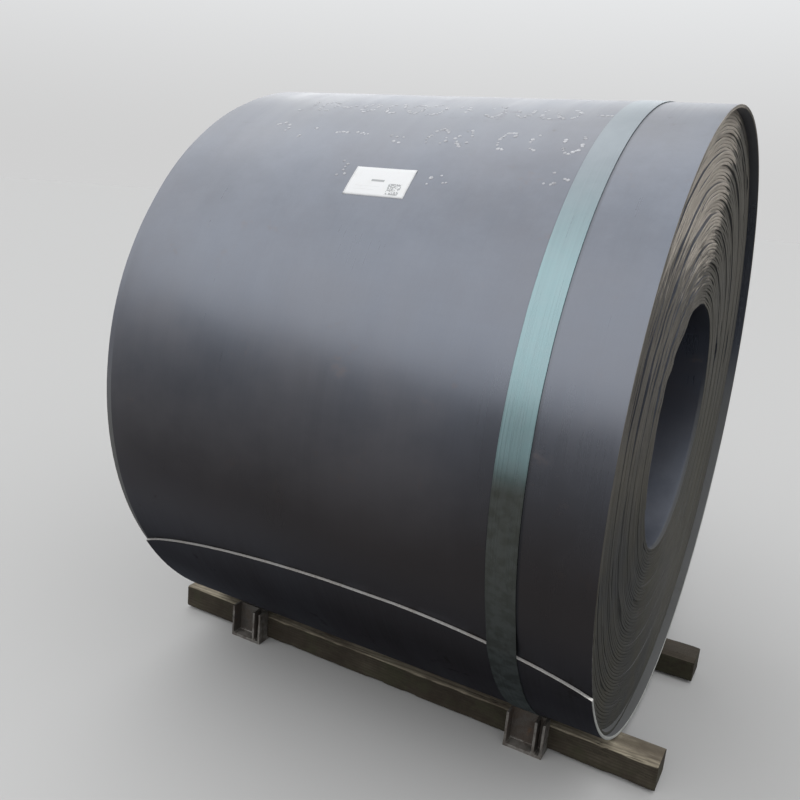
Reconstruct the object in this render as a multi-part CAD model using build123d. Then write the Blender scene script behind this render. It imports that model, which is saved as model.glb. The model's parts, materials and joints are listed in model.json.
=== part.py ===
"""Hot-rolled steel strip wound into a coil, banded once and lying on two tied timber bearers.

Millimetres. The coil's axis runs along X, +Z is up, and the ground is z = 0 under the middle
of the coil. The side with the strip's loose end faces -Y.
"""

from build123d import *
import math
import os

# The strip and how it is wound
strip_width = 1500.0
strip_thickness = 9.5
wrap_air = 0.15
wrap_pitch = strip_thickness + wrap_air
wrap_count = 60
bore_radius = 381.0
coil_radius = bore_radius + wrap_count * wrap_pitch

# Groups of wraps from the bore to the rim: (wraps in the group, how far it is shifted along +X).
# Every wrap is as wide as the strip, so a shift opens one end and fills the other. The outermost
# wraps stand proud of the rest at the +X end.
wrap_groups = (
    (5, -26.0), (5, -21.0), (4, -25.0), (6, -19.5), (4, -23.5), (5, -18.5), (4, -23.0),
    (5, -17.5), (5, -22.0), (4, -18.0), (5, -21.5), (4, -19.0), (2, -20.5), (2, 0.0),
)

# The strip's loose end: a rounded tongue low on the -Y side. Its tip is off the middle, so it
# falls away over a longer reach on the left than on the right. Angles run from +Y toward +Z.
tail_angle = 206.3
tail_centre_x = 120.0
tail_reach_left = 930.0
tail_reach_right = 700.0
tail_bow = 220.0
tail_flat = 2.0

# The coil stands clear of the ground between the bearers
ground_clearance = 40.0
axis_height = ground_clearance + coil_radius

# Steel band round the coil, nearer to the +X end
band_width = 80.0
band_thickness = 3.0
band_inset = 223.0
band_x = strip_width / 2 - band_inset

# Paper sticker on the outer wrap
sticker_width = 185.0
sticker_height = 105.0
sticker_thickness = 0.4
sticker_x = -29.0
sticker_angle = 135.9

# Timber bearers, one at each side of the coil's lowest line
bearer_length = 1790.0
bearer_height = 82.0
bearer_inner_y = 285.0
bearer_outer_y = 405.0
bearer_edge = 4.0
rear_bearer_shift = -20.0
band_side_room = 4.0

# Steel ties under both bearers, with an upright finned plate at each end. The fins stand at
# these places across the plate, one at its left edge and a close pair at its right.
tie_inset_left = 325.0
tie_inset_right = 390.0
tie_width = 125.0
tie_plate = 10.0
post_wall = 8.0
post_depth = 42.0
post_height = 108.0
fin_places = (0.0, 0.78, 1.0)

end_plane = Plane(origin=(0, 0, axis_height), x_dir=(0, 1, 0), z_dir=(1, 0, 0))
coil_axis = Axis((0, 0, axis_height), (1, 0, 0))


def polar(radius, angle):
    """Return the point at this radius and angle in the coil's end plane."""
    turn = math.radians(angle)
    return Vector(radius * math.cos(turn), radius * math.sin(turn))


def outer_wrap_arcs(lift=0.0):
    """Return centre, radius and start angle of the outer wrap's four quarter arcs.

    Each quarter is a quarter of the pitch tighter than the one before it, about a centre moved
    so that the arcs meet smoothly. After a whole turn the wrap lies one pitch further in.
    """
    centre = Vector(0, 0)
    radius = coil_radius + lift
    arcs = []
    for quarter in range(4):
        start = tail_angle + 90 * quarter
        if quarter:
            centre = centre + polar(wrap_pitch / 4, start)
            radius -= wrap_pitch / 4
        arcs.append((centre, radius, start))
    return arcs


def coil_outline():
    """Return the end-on outline of the wound coil, with the step at the loose end."""
    curves = [CenterArc(centre, radius, start, 90) for centre, radius, start in outer_wrap_arcs()]
    step = Line(curves[-1] @ 1, curves[0] @ 0)
    return make_face(curves + [step])


def banded_outline(lift):
    """Return the outline of a tight band, pulled straight where it climbs the loose end."""
    arcs = outer_wrap_arcs(lift)
    first_centre, first_radius, first_start = arcs[0]
    last_centre, last_radius, last_start = arcs[3]
    corner_angle = tail_angle + tail_drop_angle(band_x - band_width / 2)
    corner = first_centre + polar(first_radius, corner_angle)
    reach = corner - last_centre
    corner_seen = math.degrees(math.atan2(reach.Y, reach.X)) % 360
    touch_angle = 360 + corner_seen - math.degrees(math.acos(last_radius / reach.length))

    opening = CenterArc(first_centre, first_radius, corner_angle, first_start + 90 - corner_angle)
    middle = [CenterArc(centre, radius, start, 90) for centre, radius, start in arcs[1:3]]
    closing = CenterArc(last_centre, last_radius, last_start, touch_angle - last_start)
    bridge = Line(closing @ 1, opening @ 0)
    return make_face([opening, *middle, closing, bridge])


def tail_drop_angle(x):
    """Return by how many degrees the rounded loose end lies lower at x than at its tip."""
    reach = tail_reach_left if x < tail_centre_x else tail_reach_right
    across = (x - tail_centre_x) / reach
    drop = tail_bow * (1 - math.sqrt(1 - across**2)) - tail_flat
    return math.degrees(max(drop, 0.0) / coil_radius)


def turned_body():
    """Return the body of revolution with the bore, and the groups of wraps stepped at both ends."""
    right = []
    left = []
    radius = bore_radius
    for wraps, shift in wrap_groups:
        outer = radius + wraps * wrap_pitch
        right += [(strip_width / 2 + shift, radius), (strip_width / 2 + shift, outer)]
        left += [(-strip_width / 2 + shift, radius), (-strip_width / 2 + shift, outer)]
        radius = outer
    # The last group runs past the outer wrap, which bounds it
    right[-1] = (right[-1][0], coil_radius + wrap_pitch)
    left[-1] = (left[-1][0], coil_radius + wrap_pitch)
    profile = make_face(Polyline(*right, *reversed(left), close=True))
    upright = Plane(origin=(0, 0, axis_height), x_dir=(1, 0, 0), z_dir=(0, -1, 0))
    return revolve(upright * profile, coil_axis, 360)


def tongue_outline():
    """Return the outline of the rounded loose end: two quarter ellipses that meet at its tip."""
    outline = None
    for reach, side in ((tail_reach_left, -1), (tail_reach_right, 1)):
        half = Ellipse(reach, tail_bow) & Pos(side * reach / 2, 0) * Rectangle(reach, 2 * tail_bow)
        outline = half if outline is None else outline + half
    return Pos(tail_centre_x, tail_flat - tail_bow) * outline


def tail_corners():
    """Return the two corners that the strip's rounded loose end leaves out of the outer wrap."""
    outward = polar(1, tail_angle)
    sheet = Plane(
        origin=(0, 0, axis_height),
        x_dir=(1, 0, 0),
        z_dir=(0, outward.X, outward.Y),
    )
    block = Pos(0, -tail_bow / 2) * Rectangle(strip_width + 100, tail_bow)
    prism = extrude(sheet * (block - tongue_outline()), amount=coil_radius + wrap_pitch)
    ring = Circle(coil_radius + wrap_pitch) - Circle(coil_radius - wrap_pitch)
    return prism & extrude(end_plane * ring, amount=strip_width, both=True)


def make_coil():
    """Return the coil: wound outline, turned bore and ends, and the rounded loose end."""
    wound = extrude(end_plane * coil_outline(), amount=strip_width, both=True)
    return (wound & turned_body()) - tail_corners()


def make_band():
    """Return the steel band, tight on the outer wrap and straight across its loose end."""
    ring = banded_outline(band_thickness) - banded_outline(0.0)
    return Pos(band_x) * extrude(end_plane * ring, amount=band_width / 2, both=True)


def make_sticker():
    """Return the paper sticker as a thin piece of the outer wrap's surface."""
    centre, radius, start = outer_wrap_arcs()[3]
    half_turn = math.degrees(sticker_height / 2 / radius)
    low = sticker_angle - half_turn
    inner = CenterArc(centre, radius, low, 2 * half_turn)
    outer = CenterArc(centre, radius + sticker_thickness, low, 2 * half_turn)
    patch = make_face([inner, Line(inner @ 1, outer @ 1), outer, Line(outer @ 0, inner @ 0)])
    return Pos(sticker_x) * extrude(end_plane * patch, amount=sticker_width / 2, both=True)


def make_bearer(side, shift):
    """Return a timber bearer on one side of the coil, with its seat bedded to coil and band."""
    middle_y = side * (bearer_inner_y + bearer_outer_y) / 2
    timber = Pos(shift, middle_y, tie_plate + bearer_height / 2) * Box(
        bearer_length, bearer_outer_y - bearer_inner_y, bearer_height
    )
    long_outer = timber.edges().filter_by(Axis.X).sort_by(lambda edge: abs(edge.center().Y))[-2:]
    timber = chamfer(long_outer, bearer_edge)
    seat = extrude(end_plane * coil_outline(), amount=bearer_length, both=True)
    groove = Pos(band_x) * extrude(
        end_plane * banded_outline(band_thickness),
        amount=band_width / 2 + band_side_room,
        both=True,
    )
    return timber - seat - groove


def make_post(side):
    """Return the upright plate that holds a bearer's outer face, with its fins turned outward."""
    web_y = bearer_outer_y + post_wall / 2
    post = Pos(0, web_y, post_height / 2) * Box(tie_width, post_wall, post_height)
    fin_y = bearer_outer_y + post_wall + post_depth / 2
    fin_run = tie_width - post_wall
    for place in fin_places:
        x = (place - 0.5) * fin_run
        post += Pos(x, fin_y, post_height / 2) * Box(post_wall, post_depth, post_height)
    post = Pos(0, 0, tie_plate) * post
    return post if side > 0 else mirror(post, about=Plane.XZ)


def make_tie(x):
    """Return a tie: a flat plate under both bearers with a post welded on at each end."""
    reach = bearer_outer_y + post_wall + post_depth
    plate = Pos(0, 0, tie_plate / 2) * Box(tie_width, 2 * reach, tie_plate)
    return Pos(x) * (plate + make_post(-1) + make_post(1))


pieces = {
    "coil": make_coil(),
    "band": make_band(),
    "sticker": make_sticker(),
    "bearer_front": make_bearer(-1, 0.0),
    "bearer_rear": make_bearer(1, rear_bearer_shift),
    "tie_left": make_tie(tie_inset_left - bearer_length / 2),
    "tie_right": make_tie(bearer_length / 2 - tie_inset_right),
}

os.makedirs("parts", exist_ok=True)
for name, piece in pieces.items():
    export_step(piece, f"parts/{name}.step")
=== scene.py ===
"""A steel coil on its tied bearers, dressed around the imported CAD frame.

Metres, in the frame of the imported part: the coil's axis runs along X one metre above the
ground, +Z is up, and the side with the strip's loose end faces -Y. Angles round the axis run
from +Y toward +Z, in degrees.
"""

import bisect
import json
import logging
import math
import random
from dataclasses import dataclass, field
from enum import Enum
from functools import cached_property
from typing import Callable, Mapping, Optional, Sequence, Union

import bmesh
import bpy
from mathutils import Matrix, Vector, noise

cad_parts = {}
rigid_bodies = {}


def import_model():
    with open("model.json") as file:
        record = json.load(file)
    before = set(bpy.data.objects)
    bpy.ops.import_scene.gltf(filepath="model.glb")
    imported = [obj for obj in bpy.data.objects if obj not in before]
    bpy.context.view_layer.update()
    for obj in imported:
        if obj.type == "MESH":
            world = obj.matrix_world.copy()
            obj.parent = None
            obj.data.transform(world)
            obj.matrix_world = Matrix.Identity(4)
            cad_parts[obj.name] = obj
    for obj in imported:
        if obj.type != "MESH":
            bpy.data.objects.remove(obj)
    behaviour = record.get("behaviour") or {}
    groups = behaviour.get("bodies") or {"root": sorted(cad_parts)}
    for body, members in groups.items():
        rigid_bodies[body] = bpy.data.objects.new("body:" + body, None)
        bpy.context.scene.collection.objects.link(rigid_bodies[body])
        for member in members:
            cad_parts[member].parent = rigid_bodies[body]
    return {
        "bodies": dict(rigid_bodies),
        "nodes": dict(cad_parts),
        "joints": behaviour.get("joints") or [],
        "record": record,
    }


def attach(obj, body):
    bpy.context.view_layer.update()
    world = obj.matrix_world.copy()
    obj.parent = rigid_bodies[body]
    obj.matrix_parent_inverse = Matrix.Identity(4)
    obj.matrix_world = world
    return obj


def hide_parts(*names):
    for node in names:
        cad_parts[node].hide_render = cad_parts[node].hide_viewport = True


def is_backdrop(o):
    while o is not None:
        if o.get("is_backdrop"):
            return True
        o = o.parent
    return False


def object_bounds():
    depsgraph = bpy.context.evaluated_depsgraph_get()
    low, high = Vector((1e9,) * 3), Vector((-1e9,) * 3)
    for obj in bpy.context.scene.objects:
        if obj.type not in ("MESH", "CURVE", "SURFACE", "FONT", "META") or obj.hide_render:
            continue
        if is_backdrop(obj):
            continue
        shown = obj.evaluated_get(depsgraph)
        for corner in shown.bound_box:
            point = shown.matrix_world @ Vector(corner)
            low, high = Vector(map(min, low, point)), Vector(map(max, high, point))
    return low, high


ROOT = "root"
LOG = logging.getLogger("coil")

Colour = tuple[float, float, float]
Point = tuple[float, float, float]
Flat = tuple[float, float]
Range = tuple[float, float]
Ring = dict[str, list[int]]
Tree = bpy.types.NodeTree
Node = bpy.types.Node
Socket = bpy.types.NodeSocket
Material = bpy.types.Material
Mesh = bpy.types.Mesh
Piece = bpy.types.Object
Work = bmesh.types.BMesh
Sockets = Mapping[str, Socket]
Source = Union[Socket, float, tuple[float, ...]]


class Slot(Enum):
    """The record's material slots."""

    STRIP = "strip_steel"
    BAND = "band_steel"
    STICKER = "sticker_paper"
    TIMBER = "bearer_timber"
    TIE = "tie_steel"


class Side(Enum):
    """The two sides of the coil, each with the sign of its Y."""

    FRONT = -1
    REAR = 1


class Graph:
    """Adds nodes to one node tree and joins them."""

    def __init__(self, tree: Tree) -> None:
        """Keep the tree that the nodes go into."""
        self.tree = tree

    def node(self, kind: str, **settings: object) -> Node:
        """Add a node.

        Args:
            kind: The node's type, without the word ShaderNode.
            settings: The node's own properties.

        Returns:
            The new node.
        """
        made = self.tree.nodes.new(kind if kind.startswith("Node") else "ShaderNode" + kind)
        for name, value in settings.items():
            setattr(made, name, value)
        return made

    def feed(self, socket: Socket, source: Source) -> None:
        """Join a source to a socket, or set the socket to a plain value.

        Args:
            socket: The input.
            source: An output socket, or a value, where a colour has no alpha.
        """
        if isinstance(source, Socket):
            self.tree.links.new(source, socket)
        elif isinstance(source, tuple) and socket.type == "RGBA":
            socket.default_value = (*source[:3], 1.0)
        else:
            socket.default_value = source

    def filled(self, made: Node, *inputs: Source, **named: Source) -> Node:
        """Feed a node's inputs, in order or by name.

        Args:
            made: The node.
            inputs: Sources for its first inputs.
            named: Sources by the inputs' names, with _ for a space.

        Returns:
            The same node.
        """
        for socket, source in zip(made.inputs, inputs):
            self.feed(socket, source)
        for name, source in named.items():
            self.feed(made.inputs[name.replace("_", " ")], source)
        return made

    def math(self, operation: str, *inputs: Source, clamp: bool = False) -> Socket:
        """Return the result of a Math node."""
        made = self.node("Math", operation=operation, use_clamp=clamp)
        return self.filled(made, *inputs).outputs[0]

    def product(self, first: Source, *others: Source) -> Source:
        """Multiply sources.

        Args:
            first: The first source.
            others: The others.

        Returns:
            Their product.
        """
        for other in others:
            first = self.math("MULTIPLY", first, other)
        return first

    def total(self, first: Source, *shares: tuple[Source, float], clamp: bool = False) -> Source:
        """Return a source plus a share of each of some others.

        Args:
            first: The source that the others are added to.
            shares: Each other source, with the factor that it is added by.
            clamp: Whether the sum is held from 0 to 1.

        Returns:
            The sum.
        """
        for number, (source, factor) in enumerate(shares, 1):
            held = clamp and number == len(shares)
            first = self.math("ADD", first, self.product(source, factor), clamp=held)
        return first

    def vector(self, operation: str, *inputs: Source) -> Socket:
        """Return the result of a Vector Math node: its value for a length, else its vector."""
        made = self.filled(self.node("VectorMath", operation=operation), *inputs)
        return made.outputs["Value" if operation == "LENGTH" else "Vector"]

    def parts(self, vector: Source) -> tuple[Socket, ...]:
        """Return the vector's three parts."""
        return tuple(self.filled(self.node("SeparateXYZ"), vector).outputs)

    def joined(self, x: Source, y: Source, z: Source) -> Socket:
        """Return a vector made of three parts."""
        return self.filled(self.node("CombineXYZ"), x, y, z).outputs[0]

    def scaled(self, vector: Source, scale: Source) -> Socket:
        """Return the vector with each part scaled by the same part of another."""
        return self.vector("MULTIPLY", vector, scale)

    def sized(self, vector: Source, size: Source) -> Socket:
        """Return the vector with its three parts scaled by one value."""
        return self.scaled(vector, self.joined(size, size, size))

    def noise(
        self,
        vector: Source,
        scale: float = 1.0,
        detail: float = 3.0,
        roughness: float = 0.5,
        distortion: float = 0.0,
    ) -> Socket:
        """Return a noise value from 0 to 1.

        Args:
            vector: Where the noise is read.
            scale: How many cells there are in a metre.
            detail: How many finer layers are added.
            roughness: How strong the finer layers are.
            distortion: How much the noise is bent.

        Returns:
            The noise node's value.
        """
        settings = {"Scale": scale, "Detail": detail, "Roughness": roughness}
        made = self.filled(self.node("TexNoise"), Vector=vector, **settings, Distortion=distortion)
        return made.outputs[0]

    def span(
        self,
        value: Source,
        low: Source,
        high: Source,
        to_low: Source = 0.0,
        to_high: Source = 1.0,
        smooth: bool = True,
    ) -> Socket:
        """Return the value mapped from low..high to to_low..to_high, and held beyond them."""
        made = self.node("MapRange", interpolation_type="SMOOTHSTEP" if smooth else "LINEAR")
        return self.filled(made, value, low, high, to_low, to_high).outputs[0]

    def fall(self, value: Source, start: float, end: float) -> Socket:
        """Return 1 for a value up to the start, falling to 0 at the end."""
        return self.span(value, start, end, 1.0, 0.0)

    def mix(
        self, mask: Source, a: Source, b: Source, share: float = 1.0, blend: str = "MIX"
    ) -> Socket:
        """Return one colour blended into another.

        Args:
            mask: Where the second colour shows.
            a: The first colour.
            b: The second colour.
            share: How much of the second shows where the mask is 1.
            blend: The kind of blend.

        Returns:
            The blended colour.
        """
        made = self.node("Mix", data_type="RGBA", blend_type=blend)
        factor = mask if share == 1.0 else self.product(mask, share)
        # The Mix node's inputs 6 and 7 and its output 2 are the ones for colours
        for socket, source in ((0, factor), (6, a), (7, b)):
            self.feed(made.inputs[socket], source)
        return made.outputs[2]

    def layered(self, colour: Source, *layers: tuple[Source, Source, float]) -> Source:
        """Lay colours over a colour.

        Args:
            colour: The lowest colour.
            layers: Each layer's mask, its colour and the share of it that shows.

        Returns:
            The colour that comes out on top.
        """
        for mask, tone, share in layers:
            colour = self.mix(mask, colour, tone, share)
        return colour

    def tinted(self, colour: Source, value: Source) -> Socket:
        """Return the colour made lighter or darker by a value near 1."""
        return self.mix(1.0, colour, self.joined(value, value, value), blend="MULTIPLY")

    def bump(
        self, height: Source, distance: float, strength: float = 1.0, below: Optional[Source] = None
    ) -> Socket:
        """Return a bumped normal.

        Args:
            height: The height, from 0 to 1.
            distance: What a height of 1 is, in metres.
            strength: How strongly the bump shows.
            below: Another bumped normal under this one.

        Returns:
            The normal.
        """
        under = {} if below is None else {"Normal": below}
        made = self.node("Bump")
        self.filled(made, Height=height, Distance=distance, Strength=strength, **under)
        return made.outputs[0]


def start_group(
    name: str, outputs: Mapping[str, str], **inputs: Union[float, Point]
) -> tuple[Graph, Sockets, Node]:
    """Start a node group that reads a place.

    Args:
        name: The group's name.
        outputs: Each output's kind by its name.
        inputs: The default of each input beside the place by its name.

    Returns:
        The group's graph, the sockets that bring its inputs, and its output node.
    """
    tree = bpy.data.node_groups.new(name, "ShaderNodeTree")
    sockets = [("Place", "INPUT", "Vector", (0.0, 0.0, 0.0))]
    for label, value in inputs.items():
        kind = "Vector" if isinstance(value, tuple) else "Float"
        sockets.append((label, "INPUT", kind, value))
    sockets += [(label, "OUTPUT", kind, None) for label, kind in outputs.items()]
    for label, way, kind, value in sockets:
        socket = tree.interface.new_socket(
            name=label, in_out=way, socket_type="NodeSocket" + kind
        )
        if value is not None:
            socket.default_value = value
    graph = Graph(tree)
    return graph, graph.node("NodeGroupInput").outputs, graph.node("NodeGroupOutput")


class SharedEffects:
    """The effects that several finishes use, each a node group that is built once.

    The coil's outer face is what lies within `outer_depth` of the outer wrap's radius,
    which is followed from `past_tail` degrees past the loose end.
    """

    outer_depth = 0.005
    past_tail = 15.0

    def __init__(
        self, axis_height: float, coil_radius: float, pitch: float, tail_angle: float
    ) -> None:
        """Build every group.

        Args:
            axis_height: The height of the coil's axis.
            coil_radius: The coil's outer radius.
            pitch: How much the radius falls in a turn.
            tail_angle: Where the strip's loose end lies, in degrees.
        """
        self.wound = self._wound(axis_height, coil_radius, pitch, tail_angle)
        self.streaks = self._streaks()
        self.blotches = self._blotches()
        self.dust = self._dust()
        self.worn_edges = self._worn_edges()

    def _wound(
        self, axis_height: float, coil_radius: float, pitch: float, tail_angle: float
    ) -> Tree:
        """Build the group that gives places round the coil's axis, with no seam.

        Args:
            axis_height: The height of the coil's axis.
            coil_radius: The coil's outer radius.
            pitch: How much the radius falls in a turn.
            tail_angle: Where the strip's loose end lies, in degrees.

        Returns:
            The group.
        """
        outputs = {"Round": "Vector", "Radius": "Float", "Rise": "Float", "Outer": "Float"}
        graph, start, end = start_group("wound_places", outputs)
        _, y, z = graph.parts(start["Place"])
        rise = graph.math("SUBTRACT", z, axis_height)
        radius = graph.vector("LENGTH", graph.joined(0.0, y, rise))
        rearward, upward = (graph.math("DIVIDE", part, radius) for part in (y, rise))
        # The coil's outer face, whose radius falls by a pitch in a turn from just past the tail
        first = math.radians(tail_angle + self.past_tail)
        angle = graph.math("SUBTRACT", graph.math("ARCTAN2", rise, y), first)
        turn = graph.math("FRACT", graph.math("DIVIDE", angle, 2 * math.pi))
        inner = graph.math("SUBTRACT", coil_radius - self.outer_depth, graph.product(turn, pitch))
        graph.filled(
            end,
            Round=graph.joined(rearward, upward, radius),
            Radius=radius,
            Rise=rise,
            Outer=graph.math("GREATER_THAN", radius, inner),
        )
        return graph.tree

    def _streaks(self) -> Tree:
        """Build the group for long streaks: noise drawn out by a stretch of its own.

        Returns:
            The group.
        """
        graph, start, end = start_group(
            "streaks", {"Value": "Float"}, Stretch=(1.0, 1.0, 1.0), Low=0.9, High=1.1
        )
        drawn = graph.scaled(start["Place"], start["Stretch"])
        value = graph.noise(drawn, detail=4.0, roughness=0.6)
        value = graph.span(value, 0.28, 0.72, start["Low"], start["High"], smooth=False)
        graph.filled(end, Value=value)
        return graph.tree

    def _blotches(self) -> Tree:
        """Build the group for uneven patches, such as rust, stains and worn paint.

        Returns:
            The group.
        """
        graph, start, end = start_group(
            "blotches", {"Mask": "Float"}, Size=4.0, Share=0.5, Softness=0.08
        )
        wide = graph.sized(start["Place"], start["Size"])
        coarse = graph.noise(wide, detail=5.0, roughness=0.62, distortion=0.4)
        finer = graph.noise(wide, scale=7.3, roughness=0.6)
        value = graph.total(graph.product(coarse, 0.78), (finer, 0.22))
        edge = graph.span(start["Share"], 0.0, 1.0, 0.72, 0.30, smooth=False)
        low, high = (graph.math(way, edge, start["Softness"]) for way in ("SUBTRACT", "ADD"))
        graph.filled(end, Mask=graph.span(value, low, high))
        return graph.tree

    def _dust(self) -> Tree:
        """Build the group for dust that settles on what faces up.

        Returns:
            The group.
        """
        graph, start, end = start_group(
            "settled_dust", {"Mask": "Float"}, Amount=0.5, Size=6.0
        )
        normal = graph.node("NewGeometry").outputs["Normal"]
        up = graph.span(graph.parts(normal)[2], 0.15, 0.95)
        uneven = graph.noise(graph.sized(start["Place"], start["Size"]), detail=6.0, roughness=0.65)
        uneven = graph.span(uneven, 0.3, 0.72, 0.25, 1.0)
        graph.filled(end, Mask=graph.product(up, uneven, start["Amount"]))
        return graph.tree

    def _worn_edges(self) -> Tree:
        """Build the group for wear along a piece's sharp edges.

        Returns:
            The group.
        """
        graph, start, end = start_group(
            "worn_edges", {"Mask": "Float"}, Amount=0.7, Size=60.0
        )
        sharp = graph.span(graph.node("NewGeometry").outputs["Pointiness"], 0.51, 0.60)
        broken = graph.noise(graph.sized(start["Place"], start["Size"]), detail=4.0)
        broken = graph.span(broken, 0.35, 0.62, 0.2, 1.0)
        graph.filled(end, Mask=graph.product(sharp, broken, start["Amount"]))
        return graph.tree


class Coat(Graph):
    """A material in the making: its shader, the piece's own places and the shared effects."""

    def __init__(self, name: str, tone: Colour, effects: SharedEffects) -> None:
        """Start the material.

        Args:
            name: The material's name.
            tone: Its colour in a plain view.
            effects: The shared effects.
        """
        self.material = bpy.data.materials.new(name)
        self.material.use_nodes = True
        self.material.diffuse_color = (*tone, 1.0)
        super().__init__(self.material.node_tree)
        self.effects = effects
        self.shader = next(n for n in self.tree.nodes if n.type == "BSDF_PRINCIPLED")
        self.place = self.node("TexCoord").outputs["Object"]

    def shared(
        self, group: Tree, at: Optional[Source] = None, **inputs: Source
    ) -> Sockets:
        """Place a shared effect and give it its own values.

        Args:
            group: The shared effect.
            at: The places that it is read at, where they aren't the piece's own.
            inputs: Its other inputs by name.

        Returns:
            The group node's outputs.
        """
        made = self.node("Group", node_tree=group)
        return self.filled(made, Place=self.place if at is None else at, **inputs).outputs

    @cached_property
    def xyz(self) -> tuple[Socket, ...]:
        """The three parts of the piece's own places."""
        return self.parts(self.place)

    @cached_property
    def wound(self) -> Sockets:
        """The places round the coil's axis: Round, Radius, Rise and Outer."""
        return self.shared(self.effects.wound)

    @cached_property
    def rearward(self) -> Socket:
        """How far round to the rear a place lies, from -1 to 1."""
        return self.parts(self.wound["Round"])[0]

    def streaks(
        self, stretch: Point, low: float, high: float, at: Optional[Source] = None
    ) -> Socket:
        """Return a value that runs from low to high in streaks drawn out by the stretch."""
        return self.shared(self.effects.streaks, at, Stretch=stretch, Low=low, High=high)["Value"]

    def blotches(
        self, size: float, share: float, softness: float, at: Optional[Source] = None
    ) -> Socket:
        """Return the mask of blotches that cover a share of the surface."""
        values = {"Size": size, "Share": share, "Softness": softness}
        return self.shared(self.effects.blotches, at, **values)["Mask"]

    def dust(self, amount: float, size: float) -> Socket:
        """Return the mask of settled dust."""
        return self.shared(self.effects.dust, Amount=amount, Size=size)["Mask"]

    def worn(self, amount: float, size: float) -> Socket:
        """Return the mask of wear along sharp edges."""
        return self.shared(self.effects.worn_edges, Amount=amount, Size=size)["Mask"]

    def dressed(self, **inputs: Source) -> Material:
        """Return the material with the shader's inputs fed by name, with _ for a space."""
        self.filled(self.shader, **inputs)
        return self.material


@dataclass(frozen=True)
class MillScale:
    """The strip's wide faces: dark blue-grey scale with long streaks, a little rust, dust and a
    painted sheen on top, and painted shade toward the bottom.
    """

    effects: SharedEffects
    blue_grey: Colour = (0.033, 0.038, 0.052)
    brown_grey: Colour = (0.041, 0.038, 0.043)
    rust: Colour = (0.080, 0.050, 0.036)
    # Pale bluish dust on what faces up, partly a painted sheen on the top
    dust: Colour = (0.27, 0.29, 0.335)
    # Painted shade: the colours that darken the lower flank and the underside
    painted_low_shade: Colour = (0.025, 0.020, 0.018)
    underside: Colour = (0.008, 0.006, 0.006)
    # Painted shadow: the dark line along the band's edges
    painted_band_shadow: Colour = (0.012, 0.011, 0.012)
    lip: Colour = (0.060, 0.057, 0.049)
    lip_start: float = 0.712
    lip_fade: float = 0.010
    sheen: Colour = (0.82, 0.88, 1.0)
    gloss: float = 1.95
    band_right: float = 0.567
    band_left: float = 0.487

    def material(self) -> Material:
        """Build the material.

        Returns:
            The material.
        """
        coat = Coat("mill_scale", self.blue_grey, self.effects)
        rise, outer = coat.wound["Rise"], coat.wound["Outer"]
        broad = coat.streaks((8.0, 0.5, 0.5), 0.86, 1.14)
        fine = coat.streaks((150.0, 2.0, 2.0), 0.93, 1.07)
        across = coat.streaks((1.1, 60.0, 60.0), 0.96, 1.04)
        cloud = coat.noise(coat.place, scale=1.7, detail=5.0, roughness=0.6)
        speckle = coat.noise(coat.place, scale=420.0, detail=2.0)
        rust = coat.blotches(9.0, 0.17, 0.05)
        # Dust on what faces up, partly a painted sheen of the sky on the top
        dust = coat.dust(0.30, 5.0)
        ragged = coat.total(rise, (coat.span(cloud, 0.3, 0.7, -0.5, 0.5), 0.12))
        # Painted shade: darker and more metallic toward the bottom, darkest on the underside
        low = coat.product(coat.fall(ragged, -0.26, 0.36), outer)
        under = coat.product(coat.fall(rise, -0.62, -0.26), outer)
        lip = self._lip(coat)
        colour = coat.mix(coat.span(cloud, 0.35, 0.66), self.blue_grey, self.brown_grey)
        tone = coat.product(broad, fine, across, coat.span(speckle, 0.3, 0.7, 0.94, 1.06))
        colour = coat.layered(
            coat.tinted(colour, tone),
            (rust, self.rust, 0.45),
            (dust, self.dust, 1.0),
            (low, self.painted_low_shade, 0.88),
            (under, self.underside, 0.85),
            (lip, self.lip, 1.0),
            # Painted shadow along the band's edges
            (self._painted_band_shadow(coat), self.painted_band_shadow, 1.0),
        )
        rough = coat.product(coat.span(cloud, 0.3, 0.7, 0.27, 0.34), broad, fine)
        wave = coat.bump(coat.noise(coat.place, scale=2.6, detail=2.0), 0.010, 0.25)
        return coat.dressed(
            Base_Color=colour,
            Roughness=coat.total(
                rough, (dust, 0.35), (rust, 0.15), (lip, 0.40), (under, 0.42), clamp=True
            ),
            Metallic=coat.total(coat.product(low, 0.86), (under, 0.12)),
            IOR=self.gloss,
            Specular_Tint=self.sheen,
            Normal=coat.bump(coat.total(fine, (speckle, 0.5)), 0.00022, 0.6, below=wave),
        )

    def _lip(self, coat: Coat) -> Socket:
        """Build the mask of the lips inside the wraps' ends, dulled by dust, lower than the bore's
        top.

        Args:
            coat: The material in the making.

        Returns:
            The mask.
        """
        from_middle = coat.math("ABSOLUTE", coat.xyz[0])
        end = coat.span(from_middle, self.lip_start, self.lip_start + self.lip_fade)
        inside = coat.math("SUBTRACT", 1.0, coat.wound["Outer"])
        return coat.product(end, inside, coat.fall(coat.wound["Rise"], -0.15, 0.20))

    def _painted_band_shadow(self, coat: Coat) -> Socket:
        """Build the mask of the painted shadow: a dark line along the band's two edges.

        Args:
            coat: The material in the making.

        Returns:
            The mask.
        """
        x = coat.xyz[0]
        lines = []
        for edge, near, far, share in (
            (self.band_right, 0.003, 0.009, 0.95),
            (self.band_left, 0.001, 0.003, 0.6),
        ):
            left = coat.span(x, edge - 0.004, edge - 0.001)
            lines.append(coat.product(left, coat.fall(x, edge + near, edge + far), share))
        return coat.math("MAXIMUM", *lines)


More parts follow.
